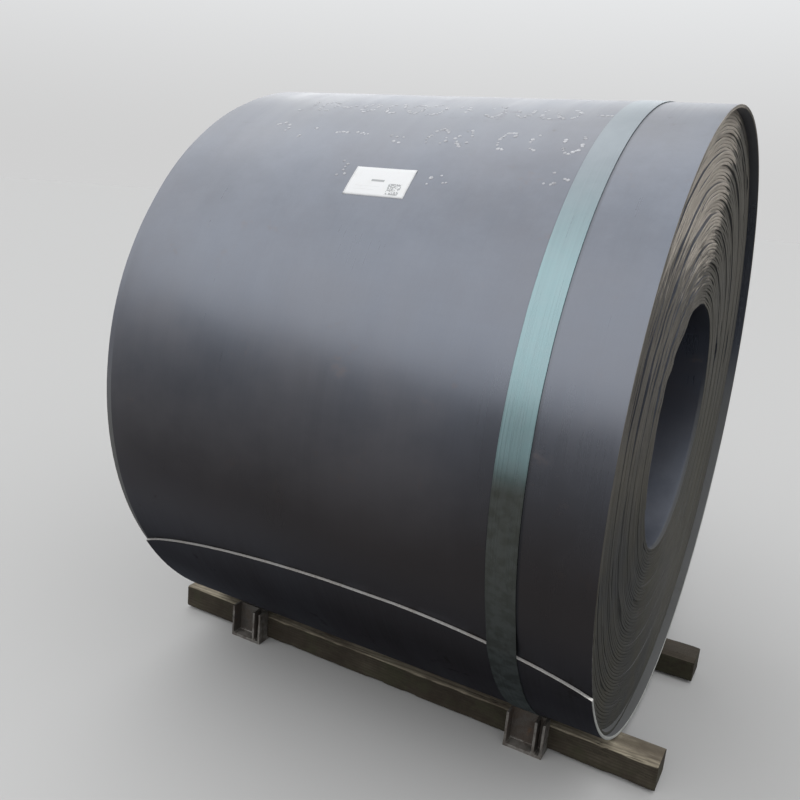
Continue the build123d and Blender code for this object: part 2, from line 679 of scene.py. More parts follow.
@dataclass(frozen=True)
class WrapEdges:
    """The strip's rolled edges, seen at the coil's ends: dark, with tan dust over the bore, and a
    painted reflection that lightens the top and the rear.
    """

    effects: SharedEffects
    olive: Colour = (0.062, 0.059, 0.048)
    blue: Colour = (0.049, 0.050, 0.051)
    # Painted reflection: a lighter tone toward the rear of the end
    rear: Colour = (0.150, 0.147, 0.132)
    # Pale dust toward the top of the end, partly a painted sky reflection
    dust_and_sheen_tone: Colour = (0.265, 0.248, 0.222)
    tan: Colour = (0.600, 0.548, 0.480)
    # The pale colour given to the outermost wrap's edge along the bottom
    bare: Colour = (0.520, 0.530, 0.510)
    gloss: float = 1.20
    wraps_a_metre: float = 103.6
    rim_start: float = 0.9493

    def material(self) -> Material:
        """Build the material.

        Returns:
            The material.
        """
        coat = Coat("wrap_edges", self.olive, self.effects)
        around = coat.wound["Round"]
        tone = coat.streaks((3.6, 3.6, self.wraps_a_metre * 0.8), 0.84, 1.16, around)
        streak = coat.streaks((16.0, 16.0, self.wraps_a_metre * 2.6), 0.86, 1.14, around)
        colour = coat.layered(
            coat.mix(coat.blotches(2.6, 0.45, 0.16), self.olive, self.blue),
            # Painted reflection: lighter toward the rear
            (coat.span(coat.rearward, -0.25, 0.55), self.rear, 0.42),
            # Lighter toward the top and the front: dust and a painted sky reflection
            (self._dust_and_top_sheen(coat), self.dust_and_sheen_tone, 1.0),
            (self._streaky(coat), self.tan, 1.0),
        )
        colour = coat.tinted(colour, coat.product(tone, streak))
        return coat.dressed(
            # The outermost wrap's edge is made pale along the bottom
            Base_Color=coat.mix(self._rim(coat, streak), colour, self.bare),
            Roughness=coat.span(streak, 0.8, 1.2, 0.68, 0.82),
            IOR=self.gloss,
            Normal=coat.bump(streak, 0.0005, 0.4),
        )

    def _dust_and_top_sheen(self, coat: Coat) -> Socket:
        """Build the mask of pale dust thicker toward the top of the end, which is also a painted
        reflection of the sky.

        Args:
            coat: The material in the making.

        Returns:
            The mask.
        """
        uneven = coat.noise(coat.wound["Round"], scale=4.0, detail=4.0, roughness=0.6)
        high = coat.span(coat.wound["Rise"], -0.25, 0.85, smooth=False)
        front = coat.span(coat.rearward, -0.35, 0.42, 1.0, 0.36)
        return coat.product(high, front, coat.span(uneven, 0.3, 0.7, 0.7, 1.15))

    def _streaky(self, coat: Coat) -> Socket:
        """Build the mask of the tan scuffs on the wraps over the bore.

        Args:
            coat: The material in the making.

        Returns:
            The mask.
        """
        above = coat.span(coat.wound["Rise"], 0.16, 0.74)
        inner = coat.span(coat.wound["Radius"], 0.940, 0.952, 1.0, 0.5)
        corner = coat.product(above, coat.fall(coat.rearward, -0.02, 0.40), inner)
        drawn = coat.scaled(coat.wound["Round"], (5.0, 5.0, 85.0))
        covered = coat.total(coat.noise(drawn, detail=5.0, roughness=0.62), (corner, 0.60))
        return coat.span(covered, 0.80, 1.04, 0.0, 0.95)

    def _rim(self, coat: Coat, streak: Source) -> Socket:
        """Build the mask of the outermost wrap's edge, made pale along the bottom.

        Args:
            coat: The material in the making.
            streak: The streaks that break the pale edge up.

        Returns:
            The mask.
        """
        outermost = coat.span(coat.wound["Radius"], self.rim_start, self.rim_start + 0.001)
        rubbed = coat.span(streak, 0.86, 1.0, 0.55, 0.95)
        return coat.product(outermost, coat.fall(coat.wound["Rise"], -0.42, -0.18), rubbed)


@dataclass(frozen=True)
class ShearedSteel:
    """The strip's cut end: bright bare steel with a little rust."""

    effects: SharedEffects
    bright: Colour = (0.50, 0.49, 0.47)
    dull: Colour = (0.30, 0.28, 0.26)

    def material(self) -> Material:
        """Build the material.

        Returns:
            The material.
        """
        coat = Coat("sheared_steel", self.bright, self.effects)
        dull = coat.blotches(14.0, 0.45, 0.12)
        lines = coat.streaks((300.0, 30.0, 30.0), 0.85, 1.12)
        return coat.dressed(
            Base_Color=coat.tinted(coat.mix(dull, self.bright, self.dull), lines),
            Roughness=coat.span(dull, 0.0, 1.0, 0.38, 0.6),
            Metallic=0.5,
            Normal=coat.bump(lines, 0.0002, 0.4),
        )


@dataclass(frozen=True)
class BluedBand:
    """The band: blued strip with a cool sheen, rubbed along its edges; a painted sheen pales its
    top and painted shade darkens its bottom.
    """

    effects: SharedEffects
    blued: Colour = (0.125, 0.205, 0.215)
    # A paler grey painted sheen on top, and painted shade toward the bottom and underside
    grey: Colour = (0.095, 0.100, 0.112)
    olive: Colour = (0.036, 0.036, 0.028)
    underside: Colour = (0.012, 0.011, 0.009)
    rubbed: Colour = (0.20, 0.22, 0.23)
    dust: Colour = (0.30, 0.32, 0.35)
    sheen: Colour = (0.78, 0.93, 1.0)
    gloss: float = 2.1

    def material(self) -> Material:
        """Build the material.

        Returns:
            The material.
        """
        coat = Coat("blued_band", self.blued, self.effects)
        rise = coat.wound["Rise"]
        # Painted light: a paler grey sheen toward the top, darker olive toward the bottom and
        # near-black underneath as painted shade
        high = coat.span(rise, 0.48, 0.80)
        low = coat.fall(rise, -0.01, 0.11)
        under = coat.fall(rise, -0.62, -0.20)
        streak = coat.streaks((220.0, 2.0, 2.0), 0.86, 1.16)
        dust = coat.dust(0.22, 3.0)
        colour = coat.layered(
            coat.mix(high, self.blued, self.grey),
            (low, self.olive, 1.0),
            (under, self.underside, 0.85),
        )
        colour = coat.layered(
            coat.tinted(colour, streak),
            (coat.worn(0.2, 40.0), self.rubbed, 1.0),
            (dust, self.dust, 1.0),
        )
        rough = coat.span(streak, 0.85, 1.15, 0.25, 0.32)
        metal = coat.span(low, 0.0, 1.0, 0.38, 0.80)
        wave = coat.bump(coat.noise(coat.place, scale=5.0, detail=2.0), 0.004, 0.25)
        return coat.dressed(
            Base_Color=colour,
            Roughness=coat.total(rough, (dust, 0.3), (under, 0.42), clamp=True),
            Metallic=coat.total(metal, (high, -0.2), (under, 0.17)),
            IOR=self.gloss,
            Specular_Tint=self.sheen,
            Normal=coat.bump(streak, 0.0002, 0.4, below=wave),
        )


@dataclass(frozen=True)
class PrintedPaper:
    """The sticker: white paper with a small bar, faint ruled lines and a square of grey blocks.

    A printed box is given as its middle across and up the sheet, half its width and half its
    height.
    """

    effects: SharedEffects
    middle_x: float
    middle_angle: float
    radius: float
    paper: Colour = (0.80, 0.81, 0.82)
    grey: Colour = (0.33, 0.34, 0.35)
    faint: Colour = (0.66, 0.67, 0.68)
    soil: Colour = (0.60, 0.57, 0.52)
    blocks_a_metre: float = 320.0
    blank_blocks: float = 0.42
    square: tuple[float, ...] = (0.052, -0.022, 0.020, 0.020)
    bar: tuple[float, ...] = (-0.006, 0.006, 0.020, 0.0038)
    rules: tuple[tuple[float, ...], ...] = (
        (-0.030, -0.016, 0.038, 0.0008), (-0.036, -0.028, 0.032, 0.0008),
    )

    def material(self) -> Material:
        """Build the material.

        Returns:
            The material.
        """
        coat = Coat("printed_paper", self.paper, self.effects)
        x, y, _ = coat.xyz
        angle = coat.math("ARCTAN2", coat.wound["Rise"], y)
        lower = coat.math("SUBTRACT", angle, math.radians(self.middle_angle))
        # Up the sheet is up the coil, so toward smaller angles on the front
        sheet = (coat.math("SUBTRACT", x, self.middle_x), coat.product(lower, -self.radius))
        cell = [coat.math("FLOOR", coat.product(way, self.blocks_a_metre)) for way in sheet]
        chance = coat.node("TexWhiteNoise", noise_dimensions="2D")
        coat.filled(chance, Vector=coat.joined(*cell, 0.0))
        blocks = coat.math("GREATER_THAN", chance.outputs["Value"], self.blank_blocks)
        blocks = coat.product(blocks, self._box(coat, sheet, self.square))
        printed = coat.math("MAXIMUM", blocks, self._box(coat, sheet, self.bar))
        ruled = coat.math("MAXIMUM", *(self._box(coat, sheet, rule) for rule in self.rules))
        fibre = coat.noise(coat.place, scale=700.0)
        colour = coat.layered(self.paper, (ruled, self.faint, 0.55), (printed, self.grey, 0.9))
        colour = coat.tinted(colour, coat.span(fibre, 0.3, 0.7, 0.96, 1.0))
        return coat.dressed(
            Base_Color=coat.mix(coat.blotches(30.0, 0.22, 0.12), colour, self.soil, 0.25),
            Roughness=coat.span(fibre, 0.2, 0.8, 0.55, 0.7),
            Normal=coat.bump(fibre, 0.00012, 0.5),
        )

    def _box(self, coat: Coat, sheet: tuple[Source, ...], box: tuple[float, ...]) -> Socket:
        """Build the mask of a printed box.

        Args:
            coat: The material in the making.
            sheet: The places across and up the sheet.
            box: The box.

        Returns:
            The mask.
        """
        sides = []
        for place, middle, half in zip(sheet, box[:2], box[2:]):
            off = coat.math("ABSOLUTE", coat.math("SUBTRACT", place, middle))
            sides.append(coat.math("LESS_THAN", off, half))
        return coat.product(*sides)


@dataclass(frozen=True)
class WornPaint:
    """The white marking paint, thin and worn down to the scale under it."""

    effects: SharedEffects
    paint: Colour = (0.60, 0.61, 0.64)
    scale: Colour = (0.16, 0.165, 0.185)

    def material(self) -> Material:
        """Build the material.

        Returns:
            The material.
        """
        coat = Coat("worn_paint", self.paint, self.effects)
        worn = coat.product(coat.blotches(26.0, 0.52, 0.14), 0.8)
        grit = coat.span(coat.noise(coat.place, scale=260.0), 0.35, 0.62)
        gone = coat.math("MAXIMUM", worn, coat.product(grit, 0.45))
        return coat.dressed(
            Base_Color=coat.mix(gone, self.paint, self.scale),
            Roughness=coat.span(gone, 0.0, 1.0, 0.62, 0.45),
            Normal=coat.bump(grit, 0.0001, 0.4),
        )


@dataclass(frozen=True)
class SawnTimber:
    """The bearers: weathered sawn timber with grain, end rings, saw marks, darkened splits and
    painted shade on the sides.
    """

    effects: SharedEffects
    heart: Flat
    fresh: Colour = (0.52, 0.465, 0.35)
    weathered: Colour = (0.20, 0.17, 0.13)
    vein: Colour = (0.10, 0.08, 0.058)
    # Dark tone for the splits, and painted shade on the sides
    dirt_and_side_shade: Colour = (0.023, 0.018, 0.013)
    moss: Colour = (0.050, 0.052, 0.030)
    gloss: float = 1.30
    ring_waves: float = 900.0
    saw_waves: float = 820.0

    def material(self, name: str) -> Material:
        """Build the material.

        Args:
            name: The material's name.

        Returns:
            The material.
        """
        coat = Coat(name, self.weathered, self.effects)
        x, y, z = coat.xyz
        bent = coat.noise(coat.scaled(coat.place, (2.5, 5.0, 5.0)))
        off = [coat.math("SUBTRACT", part, middle) for part, middle in zip((y, z), self.heart)]
        growth = coat.total(coat.vector("LENGTH", coat.joined(0.0, *off)), (bent, 0.030))
        rings = coat.span(coat.math("SINE", coat.product(growth, self.ring_waves)), -0.6, 1.0)
        saw = coat.math("SINE", coat.product(x, self.saw_waves))
        fibre = coat.streaks((9.0, 420.0, 420.0), 0.80, 1.18)
        patch = coat.blotches(14.0, 0.55, 0.16, coat.scaled(coat.place, (0.35, 1.0, 1.0)))
        stain = coat.blotches(5.5, 0.62, 0.20)
        moss = coat.blotches(8.5, 0.40, 0.10)
        split = self._splits(coat)
        facing_up = coat.parts(coat.node("NewGeometry").outputs["Normal"])[2]
        # Painted shade: the sides, and the stains on them, are darkened
        side = coat.span(facing_up, 0.2, 0.8, 1.0, 0.10)
        colour = coat.mix(patch, self.fresh, self.weathered)
        colour = coat.layered(
            coat.tinted(coat.mix(rings, colour, self.vein, 0.42), fibre),
            (split, self.dirt_and_side_shade, 0.8),
            (side, self.dirt_and_side_shade, 0.86),
            (coat.product(stain, side), self.dirt_and_side_shade, 0.72),
            (coat.product(moss, side), self.moss, 0.55),
        )
        height = coat.total(fibre, (rings, 0.35), (split, -0.9), (saw, 0.12))
        return coat.dressed(
            Base_Color=colour,
            Roughness=coat.span(fibre, 0.8, 1.2, 0.72, 0.92),
            IOR=self.gloss,
            Normal=coat.bump(height, 0.0014, 0.7),
        )

    def _splits(self, coat: Coat) -> Socket:
        """Build the mask of the thin drying splits along the grain.

        Args:
            coat: The material in the making.

        Returns:
            The mask.
        """
        lines = coat.noise(coat.scaled(coat.place, (3.2, 38.0, 38.0)), detail=2.0, distortion=0.3)
        thin = coat.fall(coat.math("ABSOLUTE", coat.math("SUBTRACT", lines, 0.5)), 0.0, 0.011)
        some = coat.span(coat.noise(coat.place, scale=4.1, detail=2.0), 0.50, 0.60)
        return coat.product(thin, some)


@dataclass(frozen=True)
class RustySteel:
    """The ties: bare plate gone brown, with rust blotches and rubbed edges."""

    effects: SharedEffects
    plate: Colour = (0.100, 0.094, 0.086)
    brown: Colour = (0.070, 0.053, 0.042)
    orange: Colour = (0.130, 0.075, 0.044)
    rubbed: Colour = (0.31, 0.30, 0.28)
    dust: Colour = (0.18, 0.165, 0.145)

    def material(self) -> Material:
        """Build the material.

        Returns:
            The material.
        """
        coat = Coat("rusty_steel", self.plate, self.effects)
        brown = coat.blotches(11.0, 0.55, 0.14)
        orange = coat.blotches(24.0, 0.22, 0.07)
        rubbed = coat.worn(0.85, 45.0)
        grain = coat.noise(coat.place, scale=240.0, detail=5.0, roughness=0.65)
        colour = coat.mix(orange, coat.mix(brown, self.plate, self.brown), self.orange, 0.7)
        colour = coat.tinted(colour, coat.span(grain, 0.3, 0.7, 0.82, 1.16))
        rough = coat.span(brown, 0.0, 1.0, 0.48, 0.78)
        return coat.dressed(
            Base_Color=coat.layered(
                colour, (rubbed, self.rubbed, 1.0), (coat.dust(0.3, 12.0), self.dust, 1.0)
            ),
            Roughness=coat.total(rough, (rubbed, -0.2), clamp=True),
            Metallic=coat.span(brown, 0.0, 1.0, 0.55, 0.1),
            Normal=coat.bump(grain, 0.0006, 0.6),
        )


def eased(value: float) -> float:
    """Return a smooth step of a value from 0 to 1."""
    value = min(1.0, max(0.0, value))
    return value * value * (3 - 2 * value)


def polar(radius: float, angle: float) -> Flat:
    """Return (y, z) at this radius and angle round the axis, from the axis."""
    turn = math.radians(angle)
    return radius * math.cos(turn), radius * math.sin(turn)


def loft_faces(
    rings: int, size: int, first: int = 0, closed: bool = False
) -> list[list[int]]:
    """Return the faces of a loft whose points are numbered ring after ring.

    Args:
        rings: How many rings there are.
        size: How many points a ring has.
        first: The number of the first point.
        closed: Whether the last ring joins the first again, so that there are no caps.

    Returns:
        The faces' point numbers.
    """
    faces = []
    for i in range(rings if closed else rings - 1):
        near, far = first + i * size, first + (i + 1) % rings * size
        for k in range(size):
            m = (k + 1) % size
            faces.append([near + k, near + m, far + m, far + k])
    if not closed:
        last = first + (rings - 1) * size
        faces += [list(range(last, last + size)), list(range(first, first + size))[::-1]]
    return faces


def add_loft(work: Work, rings: Sequence[Sequence[Point]]) -> None:
    """Add a capped loft to a mesh in the making.

    Args:
        work: The mesh in the making.
        rings: The loft's rings of points.
    """
    verts = [work.verts.new(point) for ring in rings for point in ring]
    for face in loft_faces(len(rings), len(rings[0])):
        work.faces.new([verts[number] for number in face])


def write_work(work: Work, mesh: Mesh) -> None:
    """Turn the faces of a mesh in the making outward and write it out.

    Args:
        work: The mesh in the making, which is freed.
        mesh: The mesh that it becomes.
    """
    bmesh.ops.recalc_face_normals(work, faces=work.faces)
    work.to_mesh(mesh)
    work.free()


def make_mesh(
    name: str,
    points: Sequence[Point],
    faces: Sequence[Sequence[int]],
    turn_outward: bool = True,
) -> Mesh:
    """Make a mesh.

    Args:
        name: Its name.
        points: The vertices.
        faces: The faces' vertex numbers.
        turn_outward: Whether the faces still have to be turned outward.

    Returns:
        The new mesh.
    """
    mesh = bpy.data.meshes.new(name)
    mesh.from_pydata(points, [], faces)
    if turn_outward:
        work = bmesh.new()
        work.from_mesh(mesh)
        write_work(work, mesh)
    return mesh


def linked(name: str, data: bpy.types.ID) -> Piece:
    """Make an object and link it into the scene.

    Args:
        name: Its name.
        data: Its mesh, lamp or camera.

    Returns:
        The object.
    """
    made = bpy.data.objects.new(name, data)
    bpy.context.scene.collection.objects.link(made)
    return made


def add_piece(
    mesh: Mesh,
    materials: Sequence[Material],
    kinds: Optional[Sequence[int]] = None,
    weighted: bool = True,
) -> Piece:
    """Add a smooth-shaded piece, named after its mesh, in the frame's own place.

    Args:
        mesh: The mesh.
        materials: The materials.
        kinds: The material number of each face, where there is more than one.
        weighted: Whether the shading follows the larger faces, so that bevels look round.

    Returns:
        The piece.
    """
    for material in materials:
        mesh.materials.append(material)
    if kinds is not None:
        mesh.polygons.foreach_set("material_index", kinds)
    mesh.polygons.foreach_set("use_smooth", [True] * len(mesh.polygons))
    mesh.update()
    piece = linked(mesh.name, mesh)
    if weighted:
        piece.modifiers.new("even_shading", "WEIGHTED_NORMAL").weight = 80
    return piece


@dataclass(frozen=True)
class Winding:
    """How the strip is wound.

    A place along the strip is counted in turns from the loose end, so 0 is the loose end and
    `turns` is the end in the bore. Each quarter turn is a quarter of the pitch tighter than
    the one before it, about a centre moved so that the arcs meet smoothly. The radius is a
    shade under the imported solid's, whose curves are flat facets.
    """

    radius: float = 0.95985
    pitch: float = 0.00965
    thickness: float = 0.0095
    turns: int = 59
    half_width: float = 0.750
    axis_height: float = 1.0
    tail_angle: float = 206.3
    tail_centre_x: float = 0.120
    tail_reach_left: float = 0.930
    tail_reach_right: float = 0.700
    tail_bow: float = 0.220
    tail_flat: float = 0.002

    def arc(self, quarter: int) -> tuple[Flat, float]:
        """Return the arc of a quarter turn.

        Args:
            quarter: Its number, counted from the loose end.

        Returns:
            Its centre (y, z) from the axis and its outer radius.
        """
        steps = [
            polar(self.pitch / 4, self.tail_angle + 90 * step)
            for step in range(1, quarter % 4 + 1)
        ]
        centre = (sum(y for y, _ in steps), sum(z for _, z in steps))
        return centre, self.radius - quarter * self.pitch / 4

    def arc_at(self, turn: float) -> tuple[Flat, float]:
        """Return the centre and outer radius of the quarter turn at a place along the strip."""
        return self.arc(math.floor(turn * 4 + 1e-9))

    def outer_turn(self, angle: float) -> float:
        """Return the place along the outer wrap at this angle, in turns."""
        return (angle - self.tail_angle) % 360 / 360

    def place(self, x: float, turn: float, depth: float) -> Point:
        """Return the point of the strip at this place.

        Args:
            x: The place across.
            turn: The place along the strip, in turns from the loose end.
            depth: How far it is under the strip's outer face.

        Returns:
            The point in the frame.
        """
        centre, radius = self.arc_at(turn)
        y, z = polar(radius - depth, self.tail_angle + 360 * turn)
        return x, centre[0] + y, self.axis_height + centre[1] + z

    def tail_drop(self, x: float) -> float:
        """Return how far below its tip the rounded loose end lies.

        Args:
            x: The place across.

        Returns:
            The drop in metres, along the wrap.
        """
        reach = self.tail_reach_left if x < self.tail_centre_x else self.tail_reach_right
        across = (x - self.tail_centre_x) / reach
        drop = self.tail_bow * (1 - math.sqrt(max(0.0, 1 - across**2)))
        return max(drop - self.tail_flat, 0.0)


@dataclass(frozen=True)
class SideShift:
    """How far each wrap sits to the side, which makes the steps at the coil's ends.

    The groups run from the rim to the bore: how many wraps, and how far they are shifted. The
    moves and the knocks are laid out by chance: each has its start or its middle and its
    length, in turns along the strip, and a distance to the side in metres. The groups step
    apart where the cosine of the angle from `open_angle` is over `open_from`, and in full
    where it is higher by `open_over`.
    """

    turns: int
    groups: tuple[tuple[int, float], ...] = (
        (1, 0.008), (3, -0.0200), (4, -0.0160), (5, -0.0235), (4, -0.0150), (5, -0.0245),
        (5, -0.0145), (4, -0.0260), (5, -0.0160), (4, -0.0260), (6, -0.0170), (4, -0.0275),
        (5, -0.0190), (5, -0.0270),
    )
    level: float = -0.0205
    most: float = 0.009
    least: float = -0.030
    jitter: float = 0.0008
    wave: float = 0.0052
    ragged: float = 0.0036
    ripple: float = 0.0007
    move_start: Range = (0.05, 0.35)
    move_length: Range = (0.12, 0.42)
    draw_in: float = 1.03
    draw_in_length: float = 0.16
    even_until: float = 1.2
    seed: int = 11
    start_angle: float = 206.3
    open_angle: float = 116.0
    open_from: float = 0.40
    open_over: float = 0.48
    most_share: float = 0.66
    closed_share: float = 0.20
    knock_count: int = 26
    knock_reach: Range = (0.008, 0.035)
    knock_depth: Range = (0.002, 0.006)
    moves: list[tuple[float, float, float]] = field(default_factory=list)
    knocks: list[tuple[float, float, float]] = field(default_factory=list)

    def __post_init__(self) -> None:
        """Lay out the sideways moves along the strip, and a few knocks on its edge."""
        chance = random.Random(self.seed)
        self.moves.append((0.0, 0.01, self.groups[0][1]))
        shifts = [shift for wraps, shift in self.groups for _ in range(wraps)]
        for turn, shift in enumerate(shifts):
            own = shift + chance.uniform(-1, 1) * self.jitter
            start = turn + chance.uniform(*self.move_start)
            length = chance.uniform(*self.move_length)
            if turn == 1:
                start, length = self.draw_in, self.draw_in_length
            if turn:
                self.moves.append((start, length, own))
        for _ in range(self.knock_count):
            middle = chance.uniform(5, self.turns - 2)
            reach = chance.uniform(*self.knock_reach)
            depth = chance.choice((-1, -1, 1)) * chance.uniform(*self.knock_depth)
            self.knocks.append((middle, reach, depth))

    def open_share(self, turn: float) -> float:
        """Return how far the groups step apart: most at the top, a little to the front.

        Args:
            turn: The place along the strip, in turns from the loose end.

        Returns:
            The share of the groups' own shifts.
        """
        off = math.radians(self.start_angle + 360 * turn - self.open_angle)
        near = eased((math.cos(off) - self.open_from) / self.open_over)
        return self.closed_share + (self.most_share - self.closed_share) * near

    def at(self, turn: float) -> float:
        """Return the sideways shift at a place along the strip.

        Args:
            turn: The place, in turns from the loose end.

        Returns:
            The shift in metres.
        """
        last = max(0, bisect.bisect_right(self.moves, turn, key=lambda move: move[0]) - 1)
        start, length, value = self.moves[last]
        before = self.moves[last - 1][2] if last else value
        shift = before + (value - before) * eased((turn - start) / length)
        if turn > self.even_until:
            share = self.open_share(turn)
            shift = self.level + (shift - self.level) * share + self._unevenness(turn, share)
        return min(self.most, max(self.least, shift))

    def _unevenness(self, turn: float, share: float) -> float:
        """Return the waves and knocks on the strip's edge at a place along it.

        Args:
            turn: The place, in turns from the loose end.
            share: How far the groups step apart there.

        Returns:
            The further shift in metres.
        """
        angle = 2 * math.pi * turn
        way = Vector((math.cos(angle), math.sin(angle), 0.0))
        shift = self.wave * share * noise.noise(way * 2.9 + Vector((0, 0, turn * 0.42)))
        rough = noise.noise(way * 7.5 + Vector((0, 0, turn * 0.85 + 9.0)))
        shift += self.ragged * (share - self.closed_share) * 2 * rough
        shift += self.ripple * noise.noise(Vector((turn * 14.3, 0.7, 3.1)))
        for middle, reach, depth in self.knocks:
            far = abs(turn - middle) / reach
            if far < 1:
                shift += depth * math.cos(far * math.pi / 2) ** 2
        return shift


@dataclass
class WoundStrip:
    """The coil: one closed strip wound in a spiral, every wrap of it real at both ends.

    The kinds of its faces are 0 for the wide faces, 1 for the edges and 2 for the cut ends.
    """

    winding: Winding
    shift: SideShift
    steps: int = 144
    columns: int = 40
    tongue_steps: int = 4
    tongue_rows: int = 12
    spare_steps: int = 2
    edge_round: float = 0.0014
    cut_round: float = 0.0008
    points: list[Point] = field(default_factory=list)
    faces: list[list[int]] = field(default_factory=list)
    kinds: list[int] = field(default_factory=list)

    def build(self, materials: Sequence[Material]) -> Piece:
        """Build the strip.

        Args:
            materials: The wide faces' finish, the edges' and the cut ends'.

        Returns:
            The piece.
        """
        dense = [(i / (self.columns - 1)) * 2 - 1 for i in range(self.columns)]
        sparse = [-1.0, 1.0]
        first = self.tongue_steps + 1
        # The wrap under the tongue shows past the cut, so the dense columns run on a little
        shown = self.steps + self.tongue_steps + self.spare_steps
        last = self.winding.turns * self.steps
        rings = self._tongue(dense)
        for columns, start, end in ((dense, first, shown), (sparse, shown + 1, last)):
            for step in range(start, end + 1):
                rings.append(self._ring(columns, lambda x, turn=step / self.steps: turn))
        self._cap(rings[0], flip=False)
        for near, far in zip(rings, rings[1:]):
            self._join(near, far)
        self._cap(rings[-1], flip=True)
        mesh = make_mesh("wound_strip", self.points, self.faces, turn_outward=False)
        return add_piece(mesh, materials, self.kinds)

    def _ring(
        self, columns: Sequence[float], turn_at: Callable[[float], float], slimmer: float = 0.0
    ) -> Ring:
        """Add the points round the strip's section.

        Args:
            columns: Places across, from -1 to 1.
            turn_at: The place along the strip for each x.
            slimmer: How far the section is drawn in from both wide faces.

        Returns:
            The point numbers of the outer face, the right edge, the inner face and the left
            edge, all in one direction round the section.
        """
        wide = self.winding.half_width

        def add(share: float, inset: float, depth: float) -> int:
            """Add one point.

            Args:
                share: Its share of the way from the middle to the edge.
                inset: How far the edge is drawn in.
                depth: How far it is under the strip's outer face.

            Returns:
                Its number.
            """
            side = self.shift.at(turn_at(share * wide))
            x = share * (wide - inset) + side
            self.points.append(self.winding.place(x, turn_at(x), depth))
            return len(self.points) - 1

        edge = self.edge_round
        near, far = slimmer, self.winding.thickness - slimmer
        return {
            "outer": [add(share, edge, near) for share in columns],
            "right": [add(1.0, 0.0, near + edge), add(1.0, 0.0, far - edge)],
            "inner": [add(share, edge, far) for share in reversed(columns)],
            "left": [add(-1.0, 0.0, far - edge), add(-1.0, 0.0, near + edge)],
        }

    def _tongue(self, columns: Sequence[float]) -> list[Ring]:
        """Add the rings from the rounded cut edge to where the strip has its full width.

        Args:
            columns: Places across, from -1 to 1.

        Returns:
            The rings.
        """
        length = 2 * math.pi * self.winding.radius
        reach = self.tongue_steps / self.steps

        def along(share: float, extra: float = 0.0) -> Callable[[float], float]:
            """Return where a row of points runs.

            Args:
                share: 0 to follow the cut, up to 1 to run straight across.
                extra: How much further along the strip it runs, in metres.

            Returns:
                The row's place along the strip for each x, in turns.
            """

            def turn_at(x: float) -> float:
                """Return the place along the strip at x."""
                cut = self.winding.tail_drop(x) / length
                return cut + (reach - cut) * share + extra / length

            return turn_at

        rings = [self._ring(columns, along(0.0), self.cut_round)]
        rings.append(self._ring(columns, along(0.0, self.cut_round)))
        for row in range(1, self.tongue_rows + 1):
            rings.append(self._ring(columns, along(row / self.tongue_rows)))
        return rings

    def _join(self, near: Ring, far: Ring) -> None:
        """Add the faces between two rings, the second of which may have fewer columns.

        Args:
            near: The ring nearer the loose end.
            far: The next ring.
        """
        for part in ("outer", "inner"):
            a, b = near[part], far[part]
            if len(a) == len(b):
                self._strip(a, b, 0)
            else:
                self._face([*a, b[1], b[0]], 0)
        for before, part, after in (("outer", "right", "inner"), ("inner", "left", "outer")):
            a, b = ([ring[before][-1], *ring[part], ring[after][0]] for ring in (near, far))
            self._strip(a, b, 1)

    def _strip(self, a: list[int], b: list[int], kind: int) -> None:
        """Add the quads between two rows of points."""
        for i in range(len(a) - 1):
            self._face([a[i], a[i + 1], b[i + 1], b[i]], kind)

    def _cap(self, ring: Ring, flip: bool) -> None:
        """Close the strip's end with quads across its thickness.

        Args:
            ring: The last ring.
            flip: Whether the faces are turned round.
        """
        outer, inner = ring["outer"], ring["inner"][::-1]
        for i in range(len(outer) - 1):
            self._face([outer[i], inner[i], inner[i + 1], outer[i + 1]], 2, flip)
        self._face([outer[-1], inner[-1], ring["right"][1], ring["right"][0]], 2, flip)
        self._face([inner[0], outer[0], ring["left"][1], ring["left"][0]], 2, flip)

    def _face(self, corners: list[int], kind: int, flip: bool = False) -> None:
        """Add one face of a kind of surface."""
        self.faces.append(corners[::-1] if flip else corners)
        self.kinds.append(kind)


class MarkShape(Enum):
    """The plain shapes that the marking paint's dots are laid out in."""

    OVAL = "oval"
    CRESCENT = "crescent"
    DASH = "dash"
    SPECKS = "specks"


